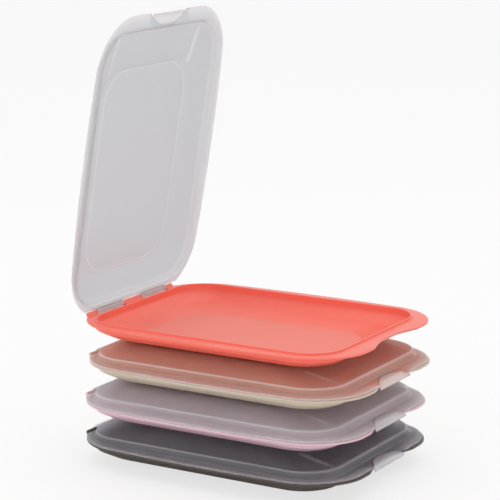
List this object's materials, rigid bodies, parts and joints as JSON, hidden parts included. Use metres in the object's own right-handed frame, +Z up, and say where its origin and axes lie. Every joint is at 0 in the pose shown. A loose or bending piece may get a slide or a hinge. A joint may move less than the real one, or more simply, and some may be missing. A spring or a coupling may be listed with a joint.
{
  "type": "stack of lidded food boxes",
  "caption": "Stack of shallow plastic food boxes in coral, cream, pink and taupe with frosted hinged lids, the top lid open",
  "frame": {"origin": "centre of the flange outline of the lowest tray, on the table under its foot", "axes": "+X forward from the hinges to the finger notch, +Y to the left seen from the front, +Z up"},
  "size_m": [0.2548, 0.187, 0.3546],
  "materials": {
    "taupe_plastic": "satin",
    "pink_plastic": "satin",
    "cream_plastic": "satin",
    "coral_plastic": "satin",
    "frosted_lid": "satin"
  },
  "bodies": {
    "taupe_box": {"taupe_tray": "taupe_plastic"},
    "taupe_cover": {"taupe_lid": "frosted_lid"},
    "pink_box": {"pink_tray": "pink_plastic"},
    "pink_cover": {"pink_lid": "frosted_lid"},
    "cream_box": {"cream_tray": "cream_plastic"},
    "cream_cover": {"cream_lid": "frosted_lid"},
    "coral_box": {"coral_tray": "coral_plastic"},
    "coral_cover": {"coral_lid": "frosted_lid"}
  },
  "joints": [
    {"name": "pink_lift", "type": "slide", "parent": "taupe_box", "child": "pink_box", "axis": [0, 0, 1], "range_m": [0, 0.467]},
    {"name": "cream_lift", "type": "slide", "parent": "pink_box", "child": "cream_box", "axis": [0, 0, 1], "range_m": [0, 0.467]},
    {"name": "coral_lift", "type": "slide", "parent": "cream_box", "child": "coral_box", "axis": [0, 0, 1], "range_m": [0, 0.467]},
    {"name": "taupe_hinge", "type": "hinge", "parent": "taupe_box", "child": "taupe_cover", "pos_m": [-0.1205, 0, 0.019], "axis": [0, -1, 0], "range_deg": [0, 105]},
    {"name": "pink_hinge", "type": "hinge", "parent": "pink_box", "child": "pink_cover", "pos_m": [-0.11879, -0.00201, 0.0515], "axis": [0, -1, 0], "range_deg": [0, 105]},
    {"name": "cream_hinge", "type": "hinge", "parent": "cream_box", "child": "cream_cover", "pos_m": [-0.1163, 0, 0.084], "axis": [0, -1, 0], "range_deg": [0, 105]},
    {"name": "coral_hinge", "type": "hinge", "parent": "coral_box", "child": "coral_cover", "pos_m": [-0.11819, 0, 0.1165], "axis": [0, -1, 0], "range_deg": [-80.16, 25]}
  ],
  "couplings": [
    {"joint": "taupe_hinge", "follows": "pink_lift", "rad_per_m": 3.92},
    {"joint": "pink_hinge", "follows": "cream_lift", "rad_per_m": 3.92},
    {"joint": "cream_hinge", "follows": "coral_lift", "rad_per_m": 3.92}
  ]
}
